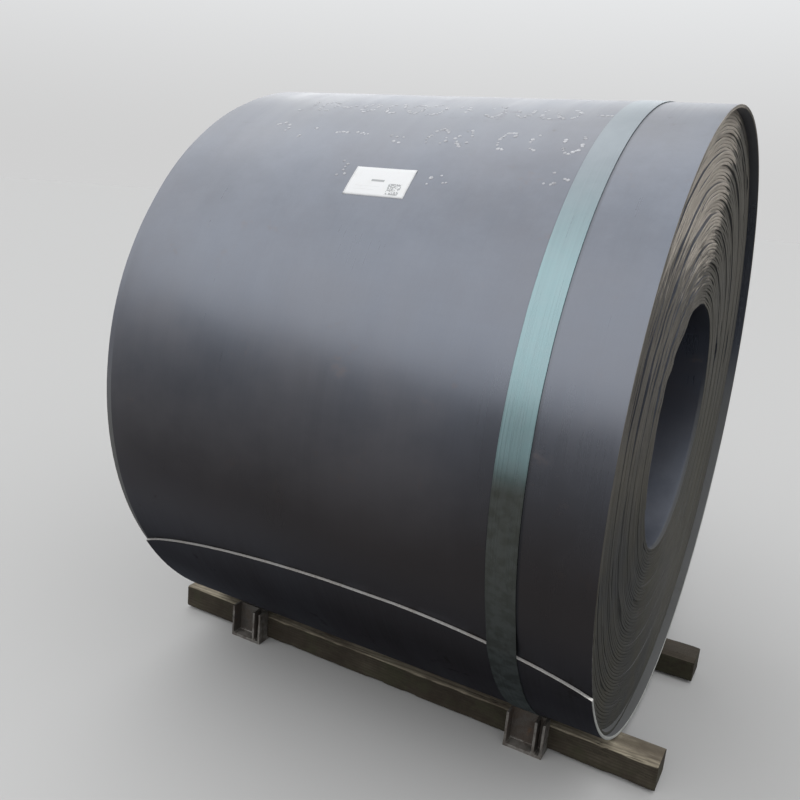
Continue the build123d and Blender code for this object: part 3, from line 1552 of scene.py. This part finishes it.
@dataclass
class PaintMarks:
    """Rows of worn white dots on the outer wrap: broken ovals, crescents and dashes.

    A row is given as its angle, its left and right end and its number of marks. In a row of no
    more than `loose_row` marks the dots lie loose. How far round an oval or a crescent goes is
    in half turns.
    """

    winding: Winding
    seed: int = 5
    dot: float = 0.0056
    high: float = 0.0002
    sides: int = 8
    missing: float = 0.13
    dot_sizes: Range = (0.6, 1.15)
    stray: float = 0.02
    oval_half_width: Range = (0.021, 0.027)
    oval_half_height: Range = (0.036, 0.046)
    oval_round: Range = (1.35, 1.85)
    crescent_round: float = 0.85
    dash_start: float = -0.02
    dash_step: float = 0.009
    dash_tilt: float = 0.5
    specks_reach: Flat = (0.03, 0.04)
    scatter: Flat = (0.0025, 0.0028)
    loose_row: int = 3
    rows: tuple[tuple[float, float, float, int], ...] = (
        (112.5, -0.50, 0.46, 13),
        (123.5, -0.47, 0.44, 10),
        (133.0, -0.19, 0.45, 3),
    )

    def build(self, material: Material) -> Piece:
        """Build every dot as a low dome bedded in the outer wrap.

        Args:
            material: The paint.

        Returns:
            The piece.
        """
        chance = random.Random(self.seed)
        points: list[Point] = []
        faces: list[list[int]] = []
        for angle, left, right, count in self.rows:
            for number in range(count):
                x = left + (right - left) * number / (count - 1)
                x += chance.uniform(-self.stray, self.stray)
                shape = self._shape(chance) if count > self.loose_row else MarkShape.SPECKS
                for across, up in self._dots(shape, chance):
                    if chance.random() < self.missing:
                        continue
                    size = self.dot * chance.uniform(*self.dot_sizes)
                    rings = self._dome(x + across, angle, up, size)
                    faces += loft_faces(len(rings), self.sides, len(points))
                    points += [point for ring in rings for point in ring]
        mesh = make_mesh("paint_marks", points, faces, turn_outward=False)
        return add_piece(mesh, [material], weighted=False)

    def _shape(self, chance: random.Random) -> MarkShape:
        """Return a shape for the next mark, most often an oval or a crescent."""
        return chance.choices(list(MarkShape), weights=(5, 4, 1, 2))[0]

    def _dots(self, shape: MarkShape, chance: random.Random) -> list[Flat]:
        """Lay out the dots of one mark.

        Args:
            shape: The mark's shape.
            chance: The source of its random values.

        Returns:
            Each dot's place across and up from the mark's middle.
        """
        wide = chance.uniform(*self.oval_half_width)
        tall = chance.uniform(*self.oval_half_height)
        begin = chance.uniform(0.0, 2.0)
        turns: list[float] = []
        if shape is MarkShape.OVAL:
            turns = self._turns(begin, begin + chance.uniform(*self.oval_round), 16)
        elif shape is MarkShape.CRESCENT:
            turns = self._turns(begin, begin + self.crescent_round, 8)
        found = [(wide * math.cos(a), tall * math.sin(a)) for a in turns]
        if shape is MarkShape.DASH:
            tilt = chance.uniform(-self.dash_tilt, self.dash_tilt)
            along = [self.dash_start + self.dash_step * i for i in range(5)]
            found = [(across, tilt * across) for across in along]
        elif shape is MarkShape.SPECKS:
            wide, tall = self.specks_reach
            found = [(chance.uniform(-wide, wide), chance.uniform(-tall, tall)) for _ in range(6)]
        aside, above = self.scatter
        return [(a + chance.gauss(0, aside), u + chance.gauss(0, above)) for a, u in found]

    def _turns(self, start: float, end: float, count: int) -> list[float]:
        """Return angles in radians from start to end, both in half turns."""
        return [math.pi * (start + (end - start) * i / (count - 1)) for i in range(count)]

    def _dome(self, x: float, angle: float, up: float, size: float) -> list[list[Point]]:
        """Lay out one dot.

        Args:
            x: Its middle across.
            angle: The angle of its row.
            up: How far above its row it lies.
            size: Its radius.

        Returns:
            The dot's rings of points, from its bedded foot to its top.
        """
        rings = []
        for share, depth in ((1.0, 0.0002), (1.0, -0.4 * self.high), (0.55, -self.high)):
            ring = []
            for side in range(self.sides):
                across, lift = polar(share * size, 360 * side / self.sides)
                around = angle - math.degrees((up + lift) / self.winding.radius)
                turn = self.winding.outer_turn(around)
                ring.append(self.winding.place(x + across, turn, depth))
            rings.append(ring)
        return rings


@dataclass
class PaperSticker:
    """The paper sticker: a thin sheet that follows the wrap, a corner lifting a little.

    The corner lifts over a share of the sheet's width and a share of its height.
    """

    winding: Winding
    middle_x: float = -0.029
    middle_angle: float = 135.9
    width: float = 0.185
    height: float = 0.105
    thickness: float = 0.0004
    lift: float = 0.0012
    lifted_width: float = 0.20
    lifted_height: float = 0.30
    across: int = 24
    up: int = 14

    def build(self, material: Material) -> Piece:
        """Build the sheet.

        Args:
            material: The printed paper.

        Returns:
            The piece.
        """
        row, sheet = self.across + 1, (self.across + 1) * (self.up + 1)
        points = [
            self._point(i / self.across, j / self.up, depth)
            for depth in (0.0, self.thickness)
            for j in range(self.up + 1)
            for i in range(self.across + 1)
        ]
        faces: list[list[int]] = []
        for j in range(self.up):
            for a in range(j * row, j * row + self.across):
                corners = [a, a + 1, a + row + 1, a + row]
                faces += [corners, [sheet + corner for corner in reversed(corners)]]
        rim = list(range(row))
        rim += [j * row + self.across for j in range(1, self.up + 1)]
        rim += [self.up * row + i for i in range(self.across - 1, -1, -1)]
        rim += [j * row for j in range(self.up - 1, 0, -1)]
        faces += [[b, a, sheet + a, sheet + b] for a, b in zip(rim, rim[1:] + rim[:1])]
        return add_piece(make_mesh("paper_sticker", points, faces), [material], weighted=False)

    def _point(self, u: float, v: float, depth: float) -> Point:
        """Return a point of the sheet.

        Args:
            u: Its share of the way across.
            v: Its share of the way down.
            depth: How far it is under the sheet's upper face.

        Returns:
            The point in the frame.
        """
        corner = eased(1 - (1 - u) / self.lifted_width) * eased(1 - v / self.lifted_height)
        lift = self.lift * corner + self.thickness
        angle = self.middle_angle + math.degrees((v - 0.5) * self.height / self.winding.radius)
        x = self.middle_x + (u - 0.5) * self.width
        return self.winding.place(x, self.winding.outer_turn(angle), depth - lift)


@dataclass
class SteelBand:
    """The steel band: tight on the outer wrap and straight where it climbs the loose end."""

    winding: Winding
    middle_x: float = 0.527
    width: float = 0.080
    thickness: float = 0.003
    rounding: float = 0.0008
    unevenness: float = 0.0006
    step: float = 2.0

    def build(self, material: Material) -> Piece:
        """Build the band.

        Args:
            material: Its finish.

        Returns:
            The piece.
        """
        points: list[Point] = []
        stations = self._stations()
        half, edge, thick = self.width / 2, self.rounding, self.thickness
        section = (
            (-half, edge), (-half + edge, 0.0), (half - edge, 0.0), (half, edge),
            (half, thick - edge), (half - edge, thick), (-half + edge, thick),
            (-half, thick - edge),
        )
        for number, (under, out) in enumerate(stations):
            drift = self.unevenness * noise.noise(Vector((number * 0.21, 4.0, 1.0)))
            for across, high in section:
                x = self.middle_x + across * (1 - abs(drift) / half)
                z = self.winding.axis_height + under[1] + out[1] * high
                points.append((x, under[0] + out[0] * high, z))
        faces = loft_faces(len(stations), len(section), closed=True)
        return add_piece(make_mesh("steel_band", points, faces), [material])

    def _stations(self) -> list[tuple[Flat, Flat]]:
        """Lay out the band round the coil, from the loose end's corner to where it leaves the wrap.

        Returns:
            The band's underside points from the axis, each with its outward direction.
        """
        wind = self.winding
        drop = wind.tail_drop(self.middle_x - self.width / 2)
        corner_angle = wind.tail_angle + math.degrees(drop / wind.radius)
        corner = polar(wind.radius, corner_angle)
        last_centre, last_radius = wind.arc(3)
        seen = (corner[0] - last_centre[0], corner[1] - last_centre[1])
        seen_angle = math.degrees(math.atan2(seen[1], seen[0])) % 360
        lean = math.degrees(math.acos(last_radius / math.hypot(*seen)))
        turns = [corner_angle, *(wind.tail_angle + 90 * quarter for quarter in (1, 2, 3))]
        turns.append(360 + seen_angle - lean)
        found = []
        for quarter, (start, end) in enumerate(zip(turns, turns[1:])):
            centre, radius = wind.arc(quarter)
            count = max(2, round((end - start) / self.step))
            for i in range(count + (quarter == 3)):
                angle = start + (end - start) * i / count
                y, z = polar(radius, angle)
                found.append(((centre[0] + y, centre[1] + z), polar(1.0, angle)))
        return found


@dataclass
class TimberBearer:
    """A sawn bearer with the coil's seat and the band's groove in its top.

    The wear reaches `edge_reach` in from every edge, and points within `skin` of a face move
    with that face.
    """

    winding: Winding
    side: Side
    middle_x: float
    length: float = 1.790
    bottom: float = 0.010
    height: float = 0.082
    inner_y: float = 0.285
    outer_y: float = 0.405
    groove_middle: float = 0.527
    groove_half: float = 0.044
    groove_deep: float = 0.003
    groove_slope: float = 0.0015
    spacing: float = 0.014
    rows: int = 8
    edge_reach: float = 0.006
    edge_step: float = 0.0025
    end_step: float = 0.002
    skin: float = 0.007
    sawn: float = 0.0009
    rounding: float = 0.0012
    worn: float = 0.0077
    end_pull: float = 0.018

    def build(self, material: Material) -> Piece:
        """Build the bearer.

        Args:
            material: The timber.

        Returns:
            The piece.
        """
        stations, section = self._stations(), self._section()
        points = [self._point(x, *place) for x in stations for place in section]
        faces = loft_faces(len(stations), len(section))
        mesh = make_mesh(f"bearer_{self.side.name.lower()}_timber", points, faces)
        return add_piece(mesh, [material])

    def _stations(self) -> list[float]:
        """Lay out the places along the bearer, closer at its ends and at the groove's edges.

        Returns:
            The places.
        """
        half = self.length / 2
        found = {round(-half + self.spacing * i, 4) for i in range(int(self.length / self.spacing))}
        for near_end in (half, half - self.end_step, half - self.edge_reach):
            found |= {-near_end, near_end}
        for edge in (self.groove_middle - self.groove_half, self.groove_middle + self.groove_half):
            near = edge - self.middle_x
            found |= {near - self.groove_slope, near + self.groove_slope}
        return [self.middle_x + x for x in sorted(found)]

    def _section(self) -> list[tuple[float, float, float]]:
        """Lay out the bearer's section.

        Returns:
            Each point's distance from the frame's middle, its height and how near an edge it
            is, from 0 to 1.
        """
        low, high = self.bottom, self.bottom + self.height
        loop = [
            (self.inner_y, low), (self.outer_y, low), (self.outer_y, high), (self.inner_y, high),
        ]
        found = []
        for (y0, z0), (y1, z1) in zip(loop, loop[1:] + loop[:1]):
            run = math.hypot(y1 - y0, z1 - z0)
            step, reach = self.edge_step / run, self.edge_reach / run
            shares = [0.0, step, reach]
            shares += [reach + (1 - 2 * reach) * i / self.rows for i in range(1, self.rows)]
            shares += [1 - reach, 1 - step]
            for share in shares:
                near = max(0.0, 1 - min(share, 1 - share) / reach)
                found.append((y0 + (y1 - y0) * share, z0 + (z1 - z0) * share, near))
        return found

    def _point(self, x: float, y: float, z: float, near_edge: float) -> Point:
        """Return a surface point after sawing, wear and the coil's seat.

        Args:
            x: The place along the bearer.
            y: The distance from the frame's middle.
            z: The height.
            near_edge: How near an edge the point is, from 0 to 1.

        Returns:
            The point in the frame.
        """
        sign = self.side.value
        half_y, half_z = (self.outer_y - self.inner_y) / 2, self.height / 2
        middle_y, middle_z = self.inner_y + half_y, self.bottom + half_z
        off_y, off_z = y - middle_y, z - middle_z
        saw = noise.noise(Vector((x * 9.0, sign * (y * 30.0 + 7.0), z * 30.0)))
        chip = max(0.0, noise.noise(Vector((x * 14.0, sign * 5.0 + y * 8, z * 12.0))) - 0.05)
        inset = self.sawn * (0.5 + 0.5 * saw) + near_edge * (self.rounding + self.worn * chip)
        if abs(off_y) > half_y - self.skin:
            off_y -= math.copysign(min(inset, abs(off_y)), off_y)
        if abs(off_z) > half_z - self.skin:
            off_z -= inset if off_z > 0 else -0.6 * inset
        from_end = self.length / 2 - abs(x - self.middle_x)
        pull = 1 - self.end_pull * max(0.0, 1 - from_end / self.edge_reach)
        y, z = middle_y + off_y * pull, middle_z + off_z * pull
        return x, sign * y, min(z, self._seat(x, sign * y))

    def _seat(self, x: float, y: float) -> float:
        """Return the height of the coil's or band's underside over this place.

        Args:
            x: The place along the bearer.
            y: The place across.

        Returns:
            The height.
        """
        down = math.sqrt(self.winding.radius**2 - y**2)
        turn = self.winding.outer_turn(math.degrees(math.atan2(-down, y)))
        centre, radius = self.winding.arc_at(turn)
        if abs(x - self.groove_middle) < self.groove_half:
            radius += self.groove_deep
        return self.winding.axis_height + centre[1] - math.sqrt(radius**2 - (y - centre[0]) ** 2)


@dataclass
class SteelTie:
    """A flat plate under both bearers, with an upright finned plate welded on at each end.

    The fins stand at shares of the way across the upright plate. A fin's face within `flush`
    of the plate's edge is level with it and has no weld bead. A bead stops short of a fin's tip
    and stays above the ground.
    """

    name: str
    middle_x: float
    width: float = 0.125
    plate: float = 0.010
    web_y: float = 0.405
    wall: float = 0.008
    depth: float = 0.042
    height: float = 0.108
    fins: tuple[float, ...] = (0.0, 0.78, 1.0)
    sink: float = 0.0004
    bevel: float = 0.0011
    bead: float = 0.0034
    bead_step: float = 0.0024
    bead_ripple: float = 0.0007
    bead_chance: float = 0.0003
    bead_sides: int = 8
    bead_end: float = 0.003
    bead_floor: float = 0.0005
    bead_taper: float = 0.55
    flush: float = 1e-6
    seed: int = 3

    def build(self, material: Material) -> Piece:
        """Build the tie.

        Args:
            material: Its finish.

        Returns:
            The piece.
        """
        work = bmesh.new()
        reach = self.web_y + self.wall + self.depth
        half = self.width / 2
        outline = [(-half, -reach), (half, -reach), (half, reach), (-half, reach)]
        self._prism(work, outline, 0.0, self.plate)
        for side in Side:
            self._prism(work, self._post(side), self.plate - self.sink, self.plate + self.height)
        bmesh.ops.bevel(
            work,
            geom=list(work.edges),
            offset=self.bevel,
            offset_type="OFFSET",
            segments=2,
            profile=0.6,
            affect="EDGES",
            clamp_overlap=True,
        )
        for side in Side:
            self._welds(work, side)
        mesh = bpy.data.meshes.new(self.name)
        write_work(work, mesh)
        return add_piece(mesh, [material])

    def _fin_middles(self) -> list[float]:
        """Return the middles of the fins across the tie."""
        return [(share - 0.5) * (self.width - self.wall) for share in self.fins]

    def _post(self, side: Side) -> list[Flat]:
        """Lay out an upright plate with its fins, seen from above.

        Args:
            side: The side of the coil that it stands on.

        Returns:
            The outline.
        """
        half, thin = self.width / 2, self.wall / 2
        near, web, tip = (
            side.value * (self.web_y + out) for out in (0.0, self.wall, self.wall + self.depth)
        )
        outline = [(half, near), (-half, near)]
        for middle in self._fin_middles():
            left, right = middle - thin, middle + thin
            if left > -half + self.flush:
                outline.append((left, web))
            outline += [(left, tip), (right, tip)]
            if right < half - self.flush:
                outline.append((right, web))
        return outline

    def _prism(
        self, work: Work, outline: Sequence[Flat], low: float, high: float
    ) -> None:
        """Add an upright prism on an outline seen from above."""
        add_loft(work, [[(self.middle_x + x, y, z) for x, y in outline] for z in (low, high)])

    def _welds(self, work: Work, side: Side) -> None:
        """Add the weld beads along the foot of the web and of each fin.

        Args:
            work: The mesh in the making.
            side: The side of the coil that they are on.
        """
        half, thin, low = self.width / 2, self.wall / 2, self.plate
        web = side.value * (self.web_y + self.wall)
        tip = side.value * (self.web_y + self.wall + self.depth - self.bead_end)
        runs = [((-half + self.wall, web), (half - self.wall, web))]
        for middle in self._fin_middles():
            for x in (middle - thin, middle + thin):
                if abs(x) < half - self.flush:
                    runs.append(((x, web), (x, tip)))
        chance = random.Random(self.seed + side.value)
        for start, end in runs:
            self._bead(work, Vector((*start, low)), Vector((*end, low)), chance)

    def _bead(
        self, work: Work, start: Vector, end: Vector, chance: random.Random
    ) -> None:
        """Add one weld bead: a run of overlapping ripples.

        Args:
            work: The mesh in the making.
            start: The bead's start.
            end: The bead's end.
            chance: The source of its random values.
        """
        across = (end - start).normalized().cross(Vector((0, 0, 1)))
        count = max(4, round((end - start).length / self.bead_step))
        rings = []
        for i in range(count + 1):
            middle = start.lerp(end, i / count)
            size = self.bead + self.bead_ripple * (i % 2)
            size += chance.uniform(-self.bead_chance, self.bead_chance)
            size *= self.bead_taper if i in (0, count) else 1.0
            ring = []
            for k in range(self.bead_sides):
                wide, high = polar(size, 360 * k / self.bead_sides)
                x, y, z = middle + across * wide
                ring.append((self.middle_x + x, y, max(z + high, self.bead_floor)))
            rings.append(ring)
        add_loft(work, rings)


@dataclass(frozen=True)
class Studio:
    """A plain pale floor, a pale surround and four wide soft lamps.

    A lamp is given as its name, the direction from the coil to it, its light on a face turned
    to it and how wide it looks, in degrees.
    """

    floor_radius: float = 60.0
    floor_sides: int = 128
    floor_shown: Colour = (0.56, 0.56, 0.555)
    floor_bounce: Colour = (0.10, 0.095, 0.09)
    horizon: Colour = (0.633, 0.633, 0.633)
    overhead: Colour = (0.96, 0.98, 1.0)
    ambient: Colour = (0.11, 0.115, 0.125)
    lamp_distance: float = 6.0
    lamps: tuple[tuple[str, Point, float, float], ...] = (
        ("overhead_light", (0.10, -0.40, 1.0), 2.9, 124.0),
        ("front_light", (-0.34, -0.73, 0.59), 0.32, 52.0),
        ("rear_light", (-0.62, 0.52, 0.59), 0.42, 50.0),
        ("rim_light", (-0.40, 0.88, 0.22), 0.38, 42.0),
    )

    def build(self) -> None:
        """Build floor, surround and lamps."""
        self._floor()
        self._world()
        for lamp in self.lamps:
            self._lamp(*lamp)

    def _floor(self) -> None:
        """Build the floor: pale to the camera and to gloss, and darker as a source of light."""
        angles = [360 * i / self.floor_sides for i in range(self.floor_sides)]
        ring = [(*polar(self.floor_radius, angle), 0.0) for angle in angles]
        mesh = make_mesh("floor", ring, [list(range(self.floor_sides))], turn_outward=False)
        floor = linked("floor", mesh)
        material = bpy.data.materials.new("pale_floor")
        material.use_nodes = True
        self._two_shaders(
            material.node_tree, "BsdfDiffuse", self.floor_bounce, self.floor_shown, "OutputMaterial"
        )
        mesh.materials.append(material)
        floor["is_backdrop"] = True

    def _world(self) -> None:
        """Build the surround: pale and paler upward where it is seen, and dimmer as a light."""
        world = bpy.data.worlds.new("surround")
        world.use_nodes = True
        bpy.context.scene.world = world
        graph, shown = self._two_shaders(
            world.node_tree, "Background", self.ambient, self.horizon, "OutputWorld"
        )
        upward = graph.parts(graph.node("TexCoord").outputs["Generated"])[2]
        lift = graph.span(upward, 0.0, 0.42)
        graph.filled(shown, Color=graph.mix(lift, self.horizon, self.overhead))

    def _two_shaders(
        self, tree: Tree, kind: str, light: Colour, shown: Colour, output: str
    ) -> tuple[Graph, Node]:
        """Give a tree one colour as a source of light, and another for the rays that show it.

        Args:
            tree: The material's or the world's tree.
            kind: The shader's type.
            light: The colour as a source of light.
            shown: The colour that the camera, a gloss or glass shows.
            output: The output node's type.

        Returns:
            The tree's graph and the shader that is shown.
        """
        graph = Graph(tree)
        tree.nodes.clear()
        bounced = graph.filled(graph.node(kind), Color=light)
        seen = graph.filled(graph.node(kind), Color=shown)
        path = graph.node("LightPath").outputs
        rays = graph.math("MAXIMUM", path["Is Camera Ray"], path["Is Glossy Ray"])
        rays = graph.math("MAXIMUM", rays, path["Is Transmission Ray"])
        both = graph.filled(graph.node("MixShader"), rays, bounced.outputs[0], seen.outputs[0])
        graph.filled(graph.node(output), Surface=both.outputs[0])
        return graph, seen

    def _lamp(self, name: str, toward: Point, strength: float, spread: float) -> None:
        """Add a wide soft lamp.

        Args:
            name: The lamp's name.
            toward: The direction from the coil to the lamp.
            strength: Its light on a face turned to it.
            spread: How wide it looks, in degrees.
        """
        data = bpy.data.lights.new(name, "SUN")
        data.energy = strength
        data.angle = math.radians(spread)
        lamp = linked(name, data)
        lamp.location = Vector(toward).normalized() * self.lamp_distance
        lamp.rotation_euler = Vector(toward).to_track_quat("Z", "Y").to_euler()


@dataclass(frozen=True)
class PhotoCamera:
    """The camera at the photograph's viewing angle."""

    place: Point = (1.138, -2.7274, 1.6635)
    right: Point = (0.86047, 0.50323, 0.07970)
    up: Point = (-0.19193, 0.17524, 0.96565)
    ahead: Point = (-0.47197, 0.84621, -0.24737)
    lens: float = 38.43
    sensor: float = 36.0
    shift_x: float = 0.0375

    def build(self) -> None:
        """Add the camera and make it the scene's own."""
        data = bpy.data.cameras.new("photo_camera")
        data.lens, data.sensor_width, data.shift_x = self.lens, self.sensor, self.shift_x
        data.clip_start, data.clip_end = 0.05, 500.0
        camera = linked("photo_camera", data)
        back = -Vector(self.ahead)
        turned = Matrix((Vector(self.right), Vector(self.up), back)).transposed()
        camera.matrix_world = Matrix.Translation(Vector(self.place)) @ turned.to_4x4()
        bpy.context.scene.camera = camera


def finish_piece(piece: Piece, slot: Slot, nodes: Sequence[str] = ()) -> None:
    """Let a piece ride on the body, stand for its CAD nodes and log its slot.

    Args:
        piece: The piece.
        slot: The record's material slot.
        nodes: The CAD nodes that it stands for.
    """
    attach(piece, ROOT)
    if nodes:
        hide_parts(*nodes)
    LOG.info("%s: %d faces, slot %s", piece.name, len(piece.data.polygons), slot.value)


def corners(box: tuple[Vector, Vector]) -> list[list[float]]:
    """Return a box's two corners as plain lists."""
    return [[float(value) for value in corner] for corner in box]


def main() -> None:
    """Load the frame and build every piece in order."""
    logging.basicConfig(level=logging.INFO, format="%(name)s: %(message)s")
    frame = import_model()
    LOG.info("frame loaded: %s", type(frame).__name__)
    cad_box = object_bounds()
    bpy.context.scene.view_settings.view_transform = "Standard"
    PhotoCamera().build()
    Studio().build()
    winding = Winding()
    effects = SharedEffects(
        winding.axis_height, winding.radius, winding.pitch, winding.tail_angle
    )

    strip = WoundStrip(winding, SideShift(winding.turns))
    finishes = [MillScale(effects), WrapEdges(effects), ShearedSteel(effects)]
    finish_piece(strip.build([f.material() for f in finishes]), Slot.STRIP, ["coil"])
    marks = PaintMarks(winding).build(WornPaint(effects).material())
    finish_piece(marks, Slot.STRIP)
    finish_piece(SteelBand(winding).build(BluedBand(effects).material()), Slot.BAND, ["band"])

    sticker = PaperSticker(winding)
    paper = PrintedPaper(effects, sticker.middle_x, sticker.middle_angle, winding.radius)
    finish_piece(sticker.build(paper.material()), Slot.STICKER, ["sticker"])

    # Painted shade: the rear bearer's darker colours
    dull = {"fresh": (0.075, 0.064, 0.050), "weathered": (0.040, 0.034, 0.028)}
    for side, middle_x, heart, tones in (
        (Side.FRONT, 0.0, (-0.335, -0.020), {}),
        (Side.REAR, -0.020, (0.390, 0.130), dull),
    ):
        timber = SawnTimber(effects, heart, **tones).material(f"sawn_timber_{side.name.lower()}")
        bearer = TimberBearer(winding, side, middle_x).build(timber)
        finish_piece(bearer, Slot.TIMBER, [f"bearer_{side.name.lower()}"])

    rust = RustySteel(effects).material()
    for node, middle_x in (("tie_left", -0.570), ("tie_right", 0.505)):
        tie = SteelTie(f"{node}_steel", middle_x).build(rust)
        finish_piece(tie, Slot.TIE, [node])

    boxes = {"cad": corners(cad_box), "visual": corners(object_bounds())}


if __name__ == "__main__":
    main()
